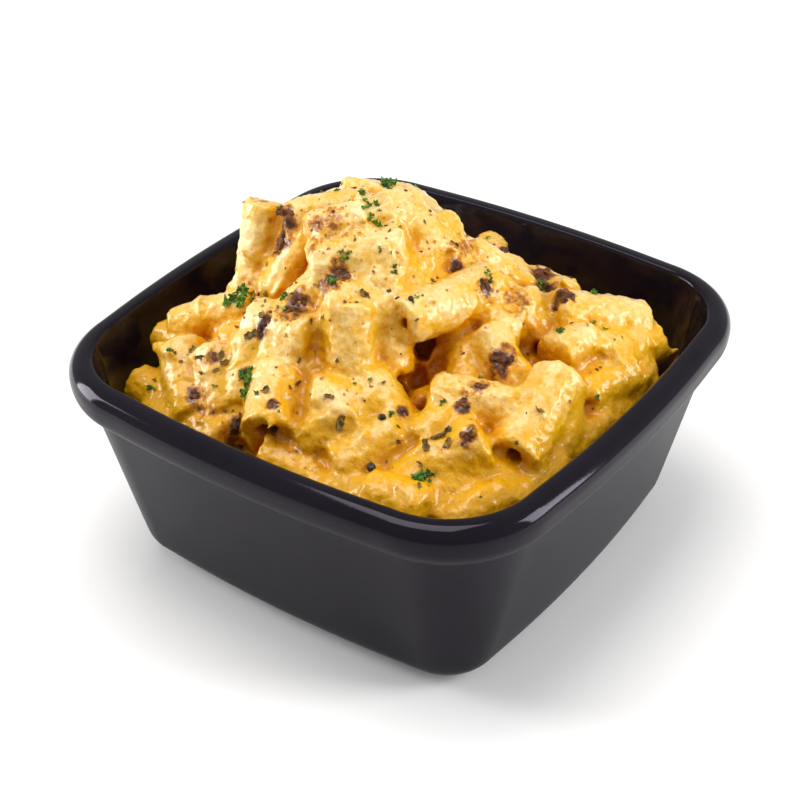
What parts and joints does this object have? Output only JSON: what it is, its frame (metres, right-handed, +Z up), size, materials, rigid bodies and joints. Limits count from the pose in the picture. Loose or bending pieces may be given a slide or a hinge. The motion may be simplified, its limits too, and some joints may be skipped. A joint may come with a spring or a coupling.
{
  "type": "mac and cheese",
  "caption": "Baked pasta tubes in cheese sauce, heaped in a square black stoneware dish with a thick rim band.",
  "frame": {"origin": "centre of the dish's flat underside, on the surface that it stands on", "axes": "+Z up; the dish's straight sides face +X, -X, +Y and -Y; the filling is lowest beside the -X and +Y walls"},
  "size_m": [0.12, 0.12, 0.0788],
  "materials": {
    "dish": "black glaze, glossy inside and on the rim, satin outside",
    "pasta_in_sauce": "moist cheese sauce, browned in spots"
  },
  "bodies": {
    "root": {"dish": "dish", "heap": "pasta_in_sauce"}
  },
  "joints": []
}
